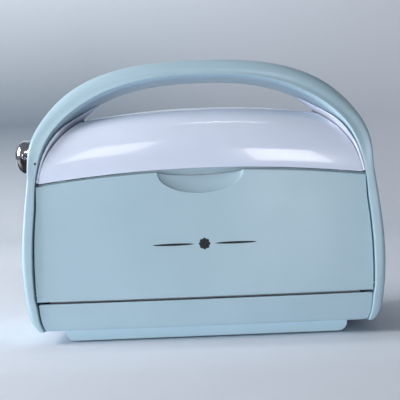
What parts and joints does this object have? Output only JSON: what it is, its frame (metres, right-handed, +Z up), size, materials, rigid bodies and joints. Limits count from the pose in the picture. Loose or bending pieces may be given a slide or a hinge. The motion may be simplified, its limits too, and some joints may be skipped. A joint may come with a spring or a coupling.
{
  "type": "die cutting machine",
  "caption": "Portable hand-cranked die cutting and embossing machine with a carrying arch, fold-down feed platforms, two rollers and a domed top cover.",
  "frame": {"origin": "on the table under the middle of the base, at the underside of the suction cup", "axes": "+X along the machine's width towards the side without the crank, +Y from the front to the rear along the feed path, +Z up"},
  "size_m": [0.3525, 0.1915, 0.2555],
  "materials": {
    "mint_shell": "pale aqua moulded plastic, satin to semi-gloss",
    "white_cover": "white moulded plastic, high gloss",
    "inner_plastic": "white moulded plastic, satin",
    "steel": "brushed steel",
    "chrome": "polished chrome plate",
    "brass": "turned brass",
    "gear_steel": "oiled sintered steel",
    "rubber": "black rubber",
    "dark_plastic": "charcoal moulded plastic"
  },
  "bodies": {
    "root": {"base_tray": "mint_shell", "base_plinth": "mint_shell", "foot_front_left": "rubber", "foot_front_right": "rubber", "foot_rear_left": "rubber", "foot_rear_right": "rubber", "base_screw_front_left": "steel", "base_screw_front_right": "steel", "base_screw_rear_left": "steel", "base_screw_rear_right": "steel", "handle_arch": "mint_shell", "handle_liner_left": "white_cover", "handle_liner_right": "white_cover", "top_cover": "white_cover", "front_fascia": "inner_plastic", "rear_fascia": "inner_plastic", "front_feed_guide": "inner_plastic", "rear_feed_guide": "inner_plastic", "left_side_plate": "steel", "right_side_plate": "steel", "gear_plate": "steel", "tie_rod_front": "steel", "tie_rod_rear": "steel", "tie_rod_top": "steel", "upper_bush_left": "brass", "upper_bush_right": "brass", "lower_bush_left": "brass", "lower_bush_right": "brass", "crank_bush_inner": "brass", "crank_bush_outer": "brass", "idler_shaft": "steel", "hinge_pin_front_left": "steel", "hinge_pin_front_right": "steel", "hinge_pin_rear_left": "steel", "hinge_pin_rear_right": "steel"},
    "front_platform": {"front_platform_panel": "mint_shell", "front_platform_tray": "inner_plastic"},
    "rear_platform": {"rear_platform_panel": "mint_shell", "rear_platform_tray": "inner_plastic"},
    "cup": {"suction_cup": "rubber", "suction_stem": "steel"},
    "upper": {"upper_roller": "steel", "upper_roller_gear": "gear_steel"},
    "lower": {"lower_roller": "steel", "lower_roller_gear": "gear_steel"},
    "idler": {"idler_gear": "gear_steel"},
    "crank": {"crank_shaft": "steel", "crank_pinion": "gear_steel", "crank_hub": "chrome", "crank_set_screw": "dark_plastic", "crank_arm": "chrome", "knob_pivot_pin": "steel"},
    "spindle": {"knob_spindle": "steel"},
    "knob": {"knob_grip": "dark_plastic", "knob_cap": "dark_plastic"}
  },
  "joints": [
    {"name": "front_platform_fold", "type": "hinge", "parent": "root", "child": "front_platform", "pos_m": [0, -0.0715, 0.0442], "axis": [1, 0, 0], "range_deg": [0, 99]},
    {"name": "rear_platform_fold", "type": "hinge", "parent": "root", "child": "rear_platform", "pos_m": [0, 0.0715, 0.0442], "axis": [-1, 0, 0], "range_deg": [0, 99]},
    {"name": "cup_lift", "type": "slide", "parent": "root", "child": "cup", "axis": [0, 0, 1], "range_m": [0, 0.003]},
    {"name": "crank_spin", "type": "hinge", "parent": "root", "child": "crank", "pos_m": [-0.17, 0, 0.16975], "axis": [1, 0, 0], "continuous": true},
    {"name": "idler_spin", "type": "hinge", "parent": "root", "child": "idler", "pos_m": [-0.112, 0, 0.126], "axis": [1, 0, 0], "continuous": true},
    {"name": "upper_roller_spin", "type": "hinge", "parent": "root", "child": "upper", "pos_m": [0, 0, 0.0885], "axis": [1, 0, 0], "continuous": true},
    {"name": "lower_roller_spin", "type": "hinge", "parent": "root", "child": "lower", "pos_m": [0, 0, 0.0385], "axis": [1, 0, 0], "continuous": true},
    {"name": "knob_fold", "type": "hinge", "parent": "crank", "child": "spindle", "pos_m": [-0.1806, 0.106, 0.16975], "axis": [0, 0, -1], "range_deg": [0, 90]},
    {"name": "knob_spin", "type": "hinge", "parent": "spindle", "child": "knob", "pos_m": [-0.1806, 0.074, 0.16975], "axis": [0, 1, 0], "continuous": true}
  ],
  "couplings": [
    {"joint": "cup_lift", "follows": "front_platform_fold", "m_per_rad": 0.001736},
    {"joint": "idler_spin", "follows": "crank_spin", "ratio": -0.45833},
    {"joint": "upper_roller_spin", "follows": "crank_spin", "ratio": 0.22917},
    {"joint": "lower_roller_spin", "follows": "crank_spin", "ratio": -0.22917}
  ]
}
